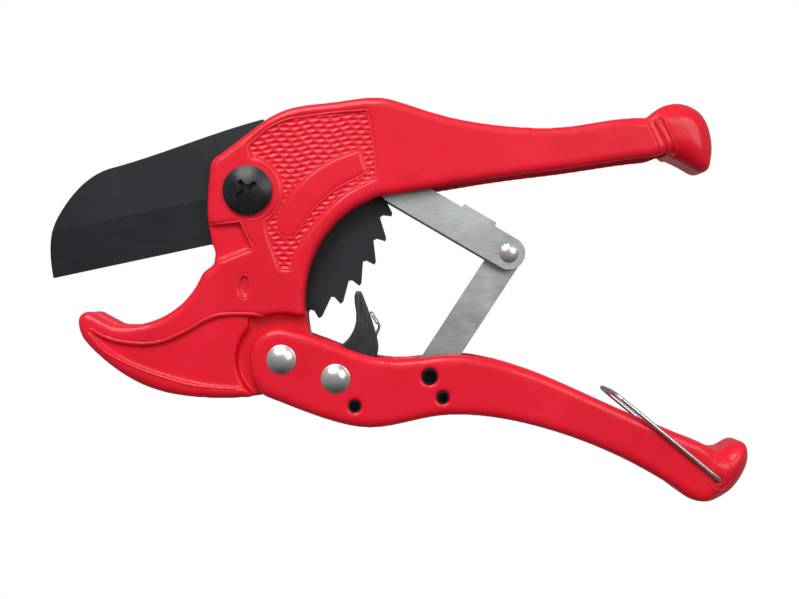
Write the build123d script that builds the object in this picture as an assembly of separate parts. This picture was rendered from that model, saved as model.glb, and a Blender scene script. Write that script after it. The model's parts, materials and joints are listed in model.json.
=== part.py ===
from build123d import *
from math import acos, asin, atan2, ceil, cos, degrees, hypot, radians, sin
import os

# Ratchet cutter for plastic pipe: a cast frame with a hooked jaw, a swinging blade with a
# toothed tail, and a squeeze handle whose pawl pushes the blade round one tooth at a time.
#
# Millimetres. The origin is the blade pivot at the middle of the blade's thickness.
# +X points to the handles, +Z to the upper handle, and the front face looks along -Y.
# The pose is the handle fully open with the blade partly closed.

# ---- thicknesses across the tool (half widths along Y)
FRAME_HALF = 9.2
HANDLE_HALF = 10.2
BLADE_HALF = 1.5
BLADE_SLOT_HALF = 1.9
FRAME_CHANNEL_HALF = 6.6
HANDLE_CHANNEL_HALF = 7.4
LUG_HALF = 5.3
CHEEK_GAP_HALF = 5.8
PANEL_DEPTH = 0.9
CAST_ROUND = 1.6
RUNNING = 0.05
PRESSED = 0.01

# ---- pivots and pins, as (x, z)
HANDLE_PIVOT = (10.5, -52.2)
PAWL_PIVOT = (27.2, -58.1)
PAWL_SPRING_ANCHOR = (33.1, -66.6)
UPPER_LINK_PIVOT = (51.0, 4.0)
KNEE = (81.2, -19.2)
LOWER_LINK_PIVOT = (56.2, -57.5)
OPENING_SPRING_ANCHOR = (60.3, -63.9)
BAIL_PIVOT = (145.5, -89.3)

# ---- blade and its ratchet tail
TOOTH_TIP_RADIUS = 45.0
TOOTH_ROOT_RADIUS = 41.4
TOOTH_PITCH_DEG = 10.5
FIRST_TOOTH_DEG = 1.3
TOOTH_COUNT = 7
TOOTH_LAND_DEG = 1.3
EDGE_REST_DEG = 12.04
EDGE_FROM_PIVOT = 13.2
EDGE_BEVEL_DEPTH = 14.5
EDGE_THICKNESS = 0.25
BLADE_REACH = 68.5
CLOSED_DEG = 31.5

# ---- blade pivot stack
SCREW_HEAD_RADIUS = 7.6
SCREW_HEAD_HEIGHT = 3.0
SCREW_RADIUS = 3.0
BUSH_RADIUS = 5.0
NUT_POCKET_RADIUS = 7.8
NUT_POCKET_DEPTH = 3.0
NUT_WASHER_THICKNESS = 1.0
NUT_ACROSS_FLATS = 10.0
NUT_HEIGHT = 5.0

# ---- pins, rivets and links
RIVET_RADIUS = 2.4
RIVET_HEAD_RADIUS = 4.6
RIVET_HEAD_HEIGHT = 1.7
LINK_PIN_RADIUS = 2.2
LARGE_PIN_RADIUS = 2.4
LARGE_PIN_BORE = 1.95
SMALL_PIN_RADIUS = 1.9
SMALL_PIN_BORE = 1.45
PIN_BORE_DEPTH = 5.0
KNEE_RIVET_RADIUS = 2.0
LINK_PLATE_OUT = 4.7
LINK_PLATE_IN = 3.5
LINK_END_RADIUS = 5.1
LOWER_LINK_HALF = 1.5
LOOP_SLACK = 1.45

# ---- pawl
PAWL_HALF = 2.2
PAWL_CLEAR_DEG = -5.8

# ---- springs and bail
SPRING_WIRE = 0.45
BAIL_WIRE = 0.65
BAIL_LENGTH = 42.6
BAIL_REST_DEG = 140.5
BAIL_LEG_OUT = 11.5


def at(centre):
    """Moves a shape made round the Y axis to a pivot."""
    return Pos(centre[0], 0, centre[1])


def polar(radius, angle_deg, centre=(0.0, 0.0)):
    """Point at a radius and an angle counter-clockwise from +X, seen from the front."""
    a = radians(angle_deg)
    return (centre[0] + radius * cos(a), centre[1] + radius * sin(a))


def turned_point(point, centre, angle_deg):
    """A point of the XZ plane turned about a centre."""
    dx, dz = point[0] - centre[0], point[1] - centre[1]
    return polar(hypot(dx, dz), degrees(atan2(dz, dx)) + angle_deg, centre)


def slab(face, near, far):
    """Extrudes a face drawn as (x, z) from y = near to y = far."""
    return Pos(0, far, 0) * extrude(Plane.XZ * face, amount=far - near)


def centred(face, half):
    """Extrudes a face drawn as (x, z) to both sides of the middle plane."""
    return slab(face, -half, half)


def area(*edges):
    """The face inside a closed chain of edges."""
    return make_face(list(edges))


def polygon(*points):
    """The face inside a closed polygon."""
    return make_face(Polyline(*points, close=True).edges())


def disc(radius, centre=(0.0, 0.0)):
    return Pos(centre[0], centre[1]) * Circle(radius)


def bar(start, end, radius):
    """A flat bar's face: two round ends joined by tangent sides."""
    heading = degrees(atan2(end[1] - start[1], end[0] - start[0]))
    sides = polygon(
        polar(radius, heading + 90, start),
        polar(radius, heading - 90, start),
        polar(radius, heading - 90, end),
        polar(radius, heading + 90, end),
    )
    return sides + disc(radius, start) + disc(radius, end)


def lathe(*edges):
    """A solid turned about the Y axis from a closed profile drawn as (radius, y)."""
    return revolve(make_face(list(edges)), axis=Axis.Y)


def ring(outer, inner, near, far):
    """A plain ring on the Y axis."""
    return slab(disc(outer) - disc(inner), near, far)


def rod(start, end, radius):
    """A round rod between two points."""
    along = Vector(*end) - Vector(*start)
    return extrude(Plane(origin=start, z_dir=along) * Circle(radius), amount=along.length)


def ball(centre, radius):
    return Pos(*centre) * Sphere(radius)


# ------------------------------------------------------------------ frame casting
def frame_outline():
    """Upper handle, head, pivot lug and hooked jaw in one outline."""
    top = Spline((4.8, 21.8), (12, 25.4), (28, 27.8), (41.5, 29.0), (50, 26.7), (62, 23.1),
                 (80, 20.2), (100, 20.1), (116, 22.5), (124.2, 22.6))
    knob = Spline((124.2, 22.6), (127.7, 25.9), (133.8, 27.7), (140.8, 24.9), (144.6, 15.6),
                  (144.3, 9.4))
    knob_corner = ThreePointArc((144.3, 9.4), (143.3, 6.7), (140.5, 6.1))
    knob_under = Spline((140.5, 6.1), (136.8, 8.3), (131.5, 10.8))
    lower_edge = Spline((131.5, 10.8), (118, 9.6), (100, 6.9), (80, 4.4), (60, 1.2), (40.3, -1.9))
    arch = Spline((40.3, -1.9), (30.3, -7.1), (22.4, -16.1), (18.6, -25.1), (17.6, -33.0),
                  (18.4, -42.5))
    lug_side = Line((18.4, -42.5), (20.1, -52.2))
    lug_end = ThreePointArc((20.1, -52.2), (17.3, -59.0), (10.5, -61.8))
    chin = Spline((10.5, -61.8), (4.8, -63.4), (-5.0, -64.3), (-20.0, -63.6), (-30.0, -61.3),
                  (-40.0, -56.1), (-49.8, -47.6))
    tip_back = ThreePointArc((-49.8, -47.6), (-52.0, -44.4), (-52.8, -41.0))
    tip_nose = ThreePointArc((-52.8, -41.0), (-51.9, -38.2), (-49.2, -37.5))
    tip_slope = Line((-49.2, -37.5), (-42.0, -41.4))
    seat = ThreePointArc((-42.0, -41.4), (-30.2, -40.5), (-15.7, -28.6))
    throat = Polyline((-15.7, -28.6), (-14.0, -25.2), (-10.9, -22.9), (-10.4, -19.2))
    brow = Spline((-10.4, -19.2), (-12.3, -12.0), (-12.6, 0.0), (-11.9, 7.5))
    temple = ThreePointArc((-11.9, 7.5), (-11.2, 9.6), (-9.2, 11.1))
    crest = Line((-9.2, 11.1), (4.8, 21.8))
    return area(top, knob, knob_corner, knob_under, lower_edge, arch, lug_side, lug_end, chin,
                tip_back, tip_nose, tip_slope, seat, *throat.edges(), brow, temple, crest)


def blade_slot():
    """Room for the blade: a disc for the tail, and the jaw above the closed cutting edge."""
    closed = EDGE_REST_DEG + CLOSED_DEG
    gap = EDGE_FROM_PIVOT + 0.7
    foot = polar(gap, closed - 90)
    far = polar(90, closed + 180, foot)
    near = polar(4, closed, foot)
    above = polygon(near, far, polar(90, closed + 90, far), polar(90, closed + 90, near))
    top_line = Spline((4.0, 19.0), (12, 22.4), (28, 25.5), (41.0, 26.6), (60.0, 24.0))
    under_top = area(
        top_line,
        Line((60.0, 24.0), (60.0, -70.0)),
        Line((60.0, -70.0), (-60.0, -70.0)),
        Line((-60.0, -70.0), (-60.0, 19.0)),
        Line((-60.0, 19.0), (4.0, 19.0)),
    )
    open_front = polygon((-70, 40), (9.5, 40), (9.5, 0), (-70, 0))
    room = under_top + open_front
    return (disc(TOOTH_TIP_RADIUS + 0.8) & room) + (disc(BLADE_REACH + 0.9) & above & room)


def frame_channel():
    """Hollow of the upper handle, open along its lower edge."""
    ceiling = Spline((38.5, 10.0), (46.5, 21.0), (62, 20.1), (80, 17.2), (100, 17.1), (130.5, 18.8))
    return area(
        ceiling,
        Line((130.5, 18.8), (130.5, 2.0)),
        Line((130.5, 2.0), (60.0, -9.0)),
        Line((60.0, -9.0), (38.5, -9.0)),
        Line((38.5, -9.0), (38.5, 10.0)),
    )


def cheek_relief():
    """Where the lower handle's cheeks turn round the pivot lug."""
    band = polygon((0, -38.7), (30, -38.7), (30, -50), (0, -50))
    skirt = polygon((4, -52), (40, -52), (40, -80), (4, -80))
    return disc(14.3, HANDLE_PIVOT) + band + skirt


def side_panel():
    """Sunken decorative panel behind the screw, wrapped round the screw boss."""
    upper = Spline((0.3, 14.0), (7.3, 19.9), (12.3, 22.0), (25.3, 24.0), (36.8, 24.8))
    end = Spline((36.8, 24.8), (38.8, 14.0), (39.6, 3.9))
    lower = Spline((39.6, 3.9), (30.0, -1.2), (22.5, -8.0), (16.3, -16.2), (13.2, -24.4))
    foot = Line((13.2, -24.4), (9.8, -24.2))
    inner = Line((9.8, -24.2), (6.5, -15.0))
    face = area(upper, end, lower, foot, inner, Line((6.5, -15.0), (0.3, 14.0)))
    return face - disc(10.6)


def blank_plate():
    """Raised banana-shaped plate with nothing on it, in the middle of the panel."""
    upper = Spline((9.3, -12.0), (9.9, -6.6), (15.2, 1.4), (23.4, 8.0), (34.6, 12.6))
    end = Line((34.6, 12.6), (37.0, 5.6))
    lower = Spline((37.0, 5.6), (27.0, 0.2), (20.0, -6.2), (14.6, -14.2))
    foot = ThreePointArc((14.6, -14.2), (11.4, -14.6), (9.3, -12.0))
    return area(upper, end, lower, foot)


def jaw_panel():
    """Shallow hollow between the jaw's two ridges."""
    upper = Spline((-47.6, -43.7), (-43.5, -46.0), (-39.5, -47.1), (-32.0, -47.8), (-25.4, -46.6),
                   (-18.3, -43.3), (-13.5, -40.5), (-8.3, -38.8), (0.7, -38.6))
    side = Line((0.7, -38.6), (0.7, -61.0))
    lower = Spline((0.7, -61.0), (-15.9, -59.9), (-25.4, -57.5), (-34.9, -54.1), (-42.9, -49.8),
                   (-47.0, -46.2))
    return area(upper, side, lower, Line((-47.0, -46.2), (-47.6, -43.7)))


def throat_pocket():
    """Pocket below the screw boss, open at the head's edge."""
    return polygon((-14.0, -10.6), (-2.4, -9.8), (1.3, -17.9), (-10.4, -22.4), (-14.0, -24.0))


def neck_grooves():
    """Two slanted grooves where the upper handle narrows before its knob."""
    return bar((125.4, 20.6), (128.8, 13.9), 0.5) + bar((128.0, 20.9), (131.4, 14.2), 0.5)


def both_faces(face, depth):
    """A shallow slab at each side face of the frame, for sinking a panel."""
    front = slab(face, -FRAME_HALF - 1, -FRAME_HALF + depth)
    return front + mirror(front, about=Plane.XZ)


def frame_casting():
    body = centred(frame_outline(), FRAME_HALF)
    body -= both_faces(side_panel() - blank_plate(), PANEL_DEPTH)
    body -= both_faces(blank_plate(), 0.2)
    body -= both_faces(jaw_panel(), 1.1)
    body -= both_faces(throat_pocket(), 1.8)
    body -= both_faces(Pos(-1.0, -29.6) * Ellipse(1.7, 3.4), 1.0)
    body -= both_faces(neck_grooves(), 0.5)
    body -= both_faces(cheek_relief(), FRAME_HALF - LUG_HALF)
    body -= centred(blade_slot(), BLADE_SLOT_HALF)
    body -= centred(frame_channel(), FRAME_CHANNEL_HALF)
    body -= centred(disc(BUSH_RADIUS + PRESSED), FRAME_HALF + 1)
    body -= slab(disc(NUT_POCKET_RADIUS), FRAME_HALF - NUT_POCKET_DEPTH, FRAME_HALF + 1)
    body -= centred(disc(RIVET_RADIUS + RUNNING, HANDLE_PIVOT), LUG_HALF + 1)
    body -= slab(disc(LINK_PIN_RADIUS + PRESSED, UPPER_LINK_PIVOT), -FRAME_HALF + 1.0, FRAME_HALF + 1)
    return body


# ------------------------------------------------------------------ lower handle
def handle_outline():
    crown = ThreePointArc((0.6, -53.0), (3.3, -44.9), (13.3, -43.1))
    top = Spline((13.3, -43.1), (25.0, -46.6), (38.8, -51.3), (50.2, -52.0), (62.6, -50.7),
                 (76.3, -52.4), (92.0, -57.4), (113.0, -66.7), (132.0, -74.8), (144.0, -79.8))
    notch = Spline((144.0, -79.8), (147.6, -80.6), (150.2, -79.2), (152.8, -78.0), (155.4, -79.2))
    knob = Spline((155.4, -79.2), (156.0, -82.0), (153.8, -88.9), (148.6, -94.6), (140.8, -96.4),
                  (133.0, -92.6))
    bottom = Spline((133.0, -92.6), (115.0, -82.4), (95.0, -74.6), (75.0, -70.1), (58.0, -69.9),
                    (37.3, -73.4), (25.3, -71.1), (15.3, -67.6), (5.3, -63.7))
    heel = Spline((5.3, -63.7), (1.4, -58.5), (0.6, -53.0))
    return area(crown, top, notch, knob, bottom, heel)


def handle_channel(left):
    """Hollow of the lower handle, open along its upper edge."""
    floor = Spline((12.5, -63.4), (25.3, -67.9), (37.3, -70.3), (58.0, -66.9), (75.0, -67.0),
                   (95.0, -71.6), (115.0, -79.3), (132.0, -88.4))
    opened = area(
        floor,
        Line((132.0, -88.4), (138.0, -84.0)),
        Line((138.0, -84.0), (138.0, -30.0)),
        Line((138.0, -30.0), (-5.0, -30.0)),
        Line((-5.0, -30.0), (-5.0, -75.0)),
        Line((-5.0, -75.0), (12.5, -75.0)),
        Line((12.5, -75.0), (12.5, -63.4)),
    )
    return opened & polygon((left, -20), (150, -20), (150, -110), (left, -110))


def lower_handle():
    body = centred(handle_outline(), HANDLE_HALF)
    rims = [edge for edge in body.edges() if abs(abs(edge.center().Y) - HANDLE_HALF) < 0.001]
    body = fillet(rims, CAST_ROUND)
    body -= centred(handle_channel(-10.0), CHEEK_GAP_HALF)
    body -= centred(handle_channel(20.5), HANDLE_CHANNEL_HALF)
    for centre, radius in (
        (HANDLE_PIVOT, RIVET_RADIUS),
        (PAWL_PIVOT, RIVET_RADIUS),
        (LOWER_LINK_PIVOT, LARGE_PIN_RADIUS),
        (PAWL_SPRING_ANCHOR, SMALL_PIN_RADIUS),
        (OPENING_SPRING_ANCHOR, SMALL_PIN_RADIUS),
    ):
        body -= centred(disc(radius + PRESSED, centre), HANDLE_HALF + 1)
    body -= centred(disc(BAIL_WIRE + 0.25, BAIL_PIVOT), HANDLE_HALF + 1)
    return body


# ------------------------------------------------------------------ blade
def tooth_points():
    """The toothed arc from the first tooth down to the last, clockwise."""
    points = [polar(TOOTH_ROOT_RADIUS - 1.0, FIRST_TOOTH_DEG + 4.5)]
    for i in range(TOOTH_COUNT):
        tip = FIRST_TOOTH_DEG - i * TOOTH_PITCH_DEG
        points.append(polar(TOOTH_TIP_RADIUS, tip + TOOTH_LAND_DEG))
        points.append(polar(TOOTH_TIP_RADIUS, tip))
        points.append(polar(TOOTH_ROOT_RADIUS + 0.8, tip - 0.2))
        points.append(polar(TOOTH_ROOT_RADIUS, tip - 1.4))
    return points


def blade_outline():
    teeth = tooth_points()
    tail_end = polar(TOOTH_ROOT_RADIUS + 0.4, -66.0)
    tooth_line = Polyline(*teeth, tail_end)
    tail_root = Spline(tail_end, (13.0, -35.5), (7.0, -25.0), (-4.0, -18.0), (-13.3, -16.35))
    edge = Line((-13.3, -16.35), (-63.0, -26.95))
    nose = Spline((-63.0, -26.95), (-63.7, -19.5), (-62.5, -10.8), (-60.1, -5.9), (-56.2, -0.4),
                  (-51.3, 4.3), (-45.1, 7.6))
    spine = Spline((-45.1, 7.6), (-26.6, 13.4), (-12.0, 18.5), (3.7, 23.3))
    shoulder = Spline((3.7, 23.3), (10.0, 18.0), (18.0, 9.5), (28.0, 5.4), teeth[0])
    return area(tooth_line, tail_root, edge, nose, spine, shoulder)


def blade():
    body = centred(blade_outline(), BLADE_HALF)
    body -= centred(disc(BUSH_RADIUS + RUNNING), BLADE_HALF + 1)
    # each side is ground to a bevel that meets the cutting edge
    bevel = polygon(
        (EDGE_THICKNESS / 2, -0.5),
        (EDGE_THICKNESS / 2, 0.0),
        (BLADE_HALF + 0.02, EDGE_BEVEL_DEPTH),
        (BLADE_HALF + 2.0, EDGE_BEVEL_DEPTH),
        (BLADE_HALF + 2.0, -0.5),
    )
    heel = polar(4, EDGE_REST_DEG, (-13.3, -16.35))
    to_nose = polar(1, EDGE_REST_DEG + 180)
    across = Plane(origin=(heel[0], 0, heel[1]), x_dir=(0, -1, 0), z_dir=(to_nose[0], 0, to_nose[1]))
    grind = extrude(across * bevel, amount=60)
    return body - grind - mirror(grind, about=Plane.XZ)


def blade_screw():
    top = -FRAME_HALF - SCREW_HEAD_HEIGHT
    end = nut_seat() + NUT_WASHER_THICKNESS + NUT_HEIGHT - 0.3
    screw = dome_head(SCREW_HEAD_RADIUS, -FRAME_HALF, -SCREW_HEAD_HEIGHT, 1.2)
    screw += lathe(
        Line((0, -FRAME_HALF), (SCREW_RADIUS, -FRAME_HALF)),
        Line((SCREW_RADIUS, -FRAME_HALF), (SCREW_RADIUS, end - 0.6)),
        Line((SCREW_RADIUS, end - 0.6), (SCREW_RADIUS - 0.6, end)),
        Line((SCREW_RADIUS - 0.6, end), (0, end)),
        Line((0, end), (0, -FRAME_HALF)),
    )
    cross = polygon((-3.6, -0.75), (3.6, -0.75), (3.6, 0.75), (-3.6, 0.75))
    cross += polygon((-0.75, -3.6), (0.75, -3.6), (0.75, 3.6), (-0.75, 3.6))
    return screw - slab(Rot(0, 0, 38) * cross + disc(1.6), top - 1, top + 2.0)


def blade_bush():
    return ring(BUSH_RADIUS, SCREW_RADIUS + 0.04, -FRAME_HALF + 0.05, FRAME_HALF - NUT_POCKET_DEPTH)


def blade_shims():
    inner = BUSH_RADIUS + RUNNING
    gap = 0.02
    front = ring(9.0, inner, -BLADE_SLOT_HALF + gap, -BLADE_HALF - gap)
    return Compound([front, mirror(front, about=Plane.XZ)])


def nut_seat():
    return FRAME_HALF - NUT_POCKET_DEPTH


def nut_washer():
    seat = nut_seat()
    return ring(6.2, SCREW_RADIUS + 0.1, seat, seat + NUT_WASHER_THICKNESS)


def blade_lock_nut():
    seat = nut_seat() + NUT_WASHER_THICKNESS
    hexagon = RegularPolygon(NUT_ACROSS_FLATS / 2, 6, major_radius=False) - disc(SCREW_RADIUS + PRESSED)
    nut = slab(hexagon, seat, seat + NUT_HEIGHT)
    outer = NUT_ACROSS_FLATS / 2 * 1.02
    # the corners are turned off and a collar holds the locking ring
    chamfer = lathe(
        Line((outer, seat - 1), (outer, seat + NUT_HEIGHT + 1)),
        Line((outer, seat + NUT_HEIGHT + 1), (9, seat + NUT_HEIGHT + 1)),
        Line((9, seat + NUT_HEIGHT + 1), (9, seat - 1)),
        Line((9, seat - 1), (outer, seat - 1)),
    )
    keep = slab(disc(9), seat + 0.8, seat + NUT_HEIGHT - 1.6)
    return nut - (chamfer - keep)


# ------------------------------------------------------------------ rivets and pins
def dome_head(radius, seat, height, rim):
    """A round head on the Y axis from y = seat outwards; a negative height points to the front."""
    out = 1 if height > 0 else -1
    cap = abs(height) - rim
    sphere = (radius**2 + cap**2) / (2 * cap)
    half_angle = asin(radius / sphere) / 2
    centre = seat + height - out * sphere
    middle = (sphere * sin(half_angle), centre + out * sphere * cos(half_angle))
    return lathe(
        Line((0, seat), (radius, seat)),
        Line((radius, seat), (radius, seat + out * rim)),
        ThreePointArc((radius, seat + out * rim), middle, (0, seat + height)),
        Line((0, seat + height), (0, seat)),
    )


def rivet(radius, half_span, head_radius, head_height):
    """A round-headed rivet through a span, with a head at each end."""
    shank = centred(disc(radius), half_span)
    front = dome_head(head_radius, -half_span, -head_height, 0.35)
    rear = dome_head(head_radius, half_span, head_height, 0.35)
    return shank + front + rear


def hollow_pin(radius, bore, half_span):
    """A dowel with a blind hole in each end."""
    pin = centred(disc(radius), half_span)
    pin -= slab(disc(bore), -half_span - 1, -half_span + PIN_BORE_DEPTH)
    pin -= slab(disc(bore), half_span - PIN_BORE_DEPTH, half_span + 1)
    return pin


def handle_rivet():
    return at(HANDLE_PIVOT) * rivet(RIVET_RADIUS, HANDLE_HALF, RIVET_HEAD_RADIUS, RIVET_HEAD_HEIGHT)


def handle_thrust_washers():
    gap = 0.03
    front = ring(6.5, RIVET_RADIUS + RUNNING, -CHEEK_GAP_HALF + gap, -LUG_HALF - gap)
    return at(HANDLE_PIVOT) * Compound([front, mirror(front, about=Plane.XZ)])


def pawl_rivet():
    return at(PAWL_PIVOT) * rivet(RIVET_RADIUS, HANDLE_HALF, RIVET_HEAD_RADIUS, RIVET_HEAD_HEIGHT)


def pawl_spring_pin():
    return at(PAWL_SPRING_ANCHOR) * hollow_pin(SMALL_PIN_RADIUS, SMALL_PIN_BORE, HANDLE_HALF - 0.2)


def lower_link_pin():
    return at(LOWER_LINK_PIVOT) * hollow_pin(LARGE_PIN_RADIUS, LARGE_PIN_BORE, HANDLE_HALF - 0.2)


def spring_anchor_pin():
    return at(OPENING_SPRING_ANCHOR) * hollow_pin(SMALL_PIN_RADIUS, SMALL_PIN_BORE, HANDLE_HALF - 0.2)


def upper_link_pin():
    return at(UPPER_LINK_PIVOT) * slab(disc(LINK_PIN_RADIUS), -FRAME_HALF + 1.1, FRAME_HALF - 0.1)


# ------------------------------------------------------------------ links
def upper_link_foot():
    """Where the strip's own centre line ends inside the frame, beside its pivot."""
    return (45.5, 1.6)


def upper_link():
    """Folded sheet: two plates joined by a short web along the upper edge."""
    plate = bar(KNEE, upper_link_foot(), LINK_END_RADIUS) + disc(4.8, UPPER_LINK_PIVOT)
    plate -= disc(LINK_PIN_RADIUS + RUNNING, UPPER_LINK_PIVOT)
    plate -= disc(KNEE_RIVET_RADIUS + PRESSED, KNEE)
    front = slab(plate, -LINK_PLATE_OUT, -LINK_PLATE_IN)
    foot = upper_link_foot()
    heading = degrees(atan2(KNEE[1] - foot[1], KNEE[0] - foot[0]))
    length = hypot(KNEE[0] - foot[0], KNEE[1] - foot[1])
    edge = LINK_END_RADIUS
    web = polygon((0.51 * length, edge - 1.0), (0.52 * length, edge + 1.2),
                  (0.80 * length, edge + 1.2), (0.81 * length, edge - 1.0))
    hollow = Rectangle(length, 1.0)
    web_solid = slab(Pos(foot[0], foot[1]) * Rot(0, 0, heading) * web, -LINK_PLATE_OUT, LINK_PLATE_OUT)
    inside = Pos(length / 2, edge - 0.5) * hollow
    web_solid -= slab(Pos(foot[0], foot[1]) * Rot(0, 0, heading) * inside, -LINK_PLATE_IN, LINK_PLATE_IN)
    return front + mirror(front, about=Plane.XZ) + web_solid


def knee_rivet():
    return at(KNEE) * rivet(KNEE_RIVET_RADIUS, LINK_PLATE_OUT, 3.0, 0.9)


def knee_spacers():
    gap = 0.04
    front = ring(3.8, KNEE_RIVET_RADIUS + RUNNING, -LINK_PLATE_IN + gap, -LOWER_LINK_HALF - gap)
    return at(KNEE) * Compound([front, mirror(front, about=Plane.XZ)])


def lower_link():
    """Flat bar. The slot at its lower end gives the linkage its slack."""
    bar_face = bar(KNEE, LOWER_LINK_PIVOT, 5.0)
    heading = degrees(atan2(LOWER_LINK_PIVOT[1] - KNEE[1], LOWER_LINK_PIVOT[0] - KNEE[0]))
    slot_radius = LARGE_PIN_RADIUS + 0.35
    slot = bar(
        polar(LOOP_SLACK - 0.1, heading + 180, LOWER_LINK_PIVOT),
        polar(LOOP_SLACK, heading, LOWER_LINK_PIVOT),
        slot_radius,
    )
    bar_face = bar_face + disc(5.3, LOWER_LINK_PIVOT) - slot
    bar_face -= disc(KNEE_RIVET_RADIUS + RUNNING, KNEE)
    return centred(bar_face, LOWER_LINK_HALF)


# ------------------------------------------------------------------ pawl and springs
def pawl_outline():
    """The pawl as it stands with its nose in the teeth."""
    back = Spline((32.0, -30.5), (34.6, -35.6), (37.3, -41.6), (39.2, -48.0), (37.8, -54.0),
                  (32.6, -60.0))
    base = Spline((32.6, -60.0), (27.2, -64.3), (21.2, -59.5), (23.5, -53.0), (28.0, -47.4))
    belly = Spline((28.0, -47.4), (30.9, -42.6), (31.3, -38.7), (30.5, -35.0), (30.0, -32.0))
    nose = Polyline((30.0, -32.0), (30.5, -30.4), (32.0, -30.5))
    return area(back, base, belly, *nose.edges())


def pawl():
    body = centred(pawl_outline(), PAWL_HALF)
    body -= centred(disc(RIVET_RADIUS + RUNNING, PAWL_PIVOT), PAWL_HALF + 1)
    return about_pivot(body, PAWL_PIVOT, PAWL_CLEAR_DEG)


def about_pivot(shape, centre, angle_deg):
    """Turns a solid about a pivot, counter-clockwise seen from the front."""
    return at(centre) * Rot(0, -angle_deg, 0) * at((-centre[0], -centre[1])) * shape


def coil(centre, radius, start_deg, turns, near, far):
    """Points on a helix round a pivot, eight to a turn, counter-clockwise from near to far."""
    count = 2 * ceil(4 * turns)
    points = []
    for i in range(count + 1):
        x, z = polar(radius, start_deg + 360 * turns * i / count, centre)
        points.append((x, near + (far - near) * i / count, z))
    return points


def tangent_angle(centre, radius, outside, sense):
    """Angle on a circle where a straight line to an outside point leaves it."""
    dx, dz = outside[0] - centre[0], outside[1] - centre[1]
    return degrees(atan2(dz, dx)) + sense * degrees(acos(radius / hypot(dx, dz)))


def sprung_wire(before, wound, after):
    """A spring of round wire: a leg, a coil of short arcs and a leg. The bends are small balls."""
    arcs = [ThreePointArc(*three) for three in zip(wound[::2], wound[1::2], wound[2::2])]
    section = Plane(origin=arcs[0] @ 0, z_dir=arcs[0] % 0) * Circle(SPRING_WIRE)
    spring = sweep(section, path=Wire(arcs))
    for leg in ([wound[0], *reversed(before)], [wound[-1], *after]):
        for start, end in zip(leg, leg[1:]):
            spring += ball(start, SPRING_WIRE * 1.1)
            spring += rod(start, end, SPRING_WIRE)
    return spring


def pawl_spring():
    """A coil on the pawl's rivet with a leg behind the pawl that hooks over its back."""
    radius = RIVET_RADIUS + 0.25 + SPRING_WIRE
    inner = PAWL_HALF + 0.25 + SPRING_WIRE
    outer = HANDLE_CHANNEL_HALF - 0.35 - SPRING_WIRE

    def on_pawl(x, z):
        return turned_point((x, z), PAWL_PIVOT, PAWL_CLEAR_DEG)

    shoulder = on_pawl(37.6, -45.5)
    loop = on_pawl(38.9, -40.8)
    crown = on_pawl(35.9, -37.0)
    tail = on_pawl(38.0, -39.8)
    leg_end = polar(SMALL_PIN_RADIUS + SPRING_WIRE + 0.3, 30, PAWL_SPRING_ANCHOR)
    start = tangent_angle(PAWL_PIVOT, radius, leg_end, 1)
    leave = tangent_angle(PAWL_PIVOT, radius, shoulder, -1)
    turns = 3 + (leave - start) % 360 / 360
    hook = [
        (shoulder[0], inner, shoulder[1]),
        (loop[0], inner, loop[1]),
        (crown[0], inner - 1.0, crown[1]),
        (crown[0], 1.0 - inner, crown[1]),
        (tail[0], -inner, tail[1]),
    ]
    return sprung_wire(
        [(leg_end[0], outer, leg_end[1])],
        coil(PAWL_PIVOT, radius, start, turns, outer, inner),
        hook,
    )


def opening_spring():
    """Torsion spring on the lower link's pin that pushes the handle open."""
    radius = LARGE_PIN_RADIUS + 0.25 + SPRING_WIRE
    inner = LOWER_LINK_HALF + 0.4 + SPRING_WIRE
    outer = HANDLE_CHANNEL_HALF - 0.5 - SPRING_WIRE
    heading = degrees(atan2(KNEE[1] - LOWER_LINK_PIVOT[1], KNEE[0] - LOWER_LINK_PIVOT[0]))
    lean = polar(5.0 + SPRING_WIRE + 0.15, heading + 90, polar(2.5, heading, LOWER_LINK_PIVOT))
    clear_of_pin = SMALL_PIN_RADIUS + SPRING_WIRE + 0.3
    leg_end = polar(clear_of_pin, 80, OPENING_SPRING_ANCHOR)
    start = tangent_angle(LOWER_LINK_PIVOT, radius, lean, 1)
    leave = tangent_angle(LOWER_LINK_PIVOT, radius, leg_end, -1)
    turns = 3 + (leave - start) % 360 / 360
    return sprung_wire(
        [(lean[0], -LOWER_LINK_HALF, lean[1]), (lean[0], inner, lean[1])],
        coil(LOWER_LINK_PIVOT, radius, start, turns, inner, outer),
        [(leg_end[0], outer, leg_end[1])],
    )


# ------------------------------------------------------------------ bail
def lock_bail():
    """Wire loop hung in the lower handle's knob that holds both knobs together."""
    axis = BAIL_PIVOT
    end = polar(BAIL_LENGTH, BAIL_REST_DEG, axis)
    side = BAIL_LEG_OUT
    path = Polyline(
        (axis[0], 0, axis[1]),
        (axis[0], -side, axis[1]),
        (end[0], -side, end[1]),
        (end[0], 0, end[1]),
    )
    rounded = FilletPolyline(*path.vertices(), radius=1.6)
    section = Plane(origin=rounded @ 0, z_dir=rounded % 0) * Circle(BAIL_WIRE)
    half = sweep(section, path=rounded)
    return half + mirror(half, about=Plane.XZ)


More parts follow.
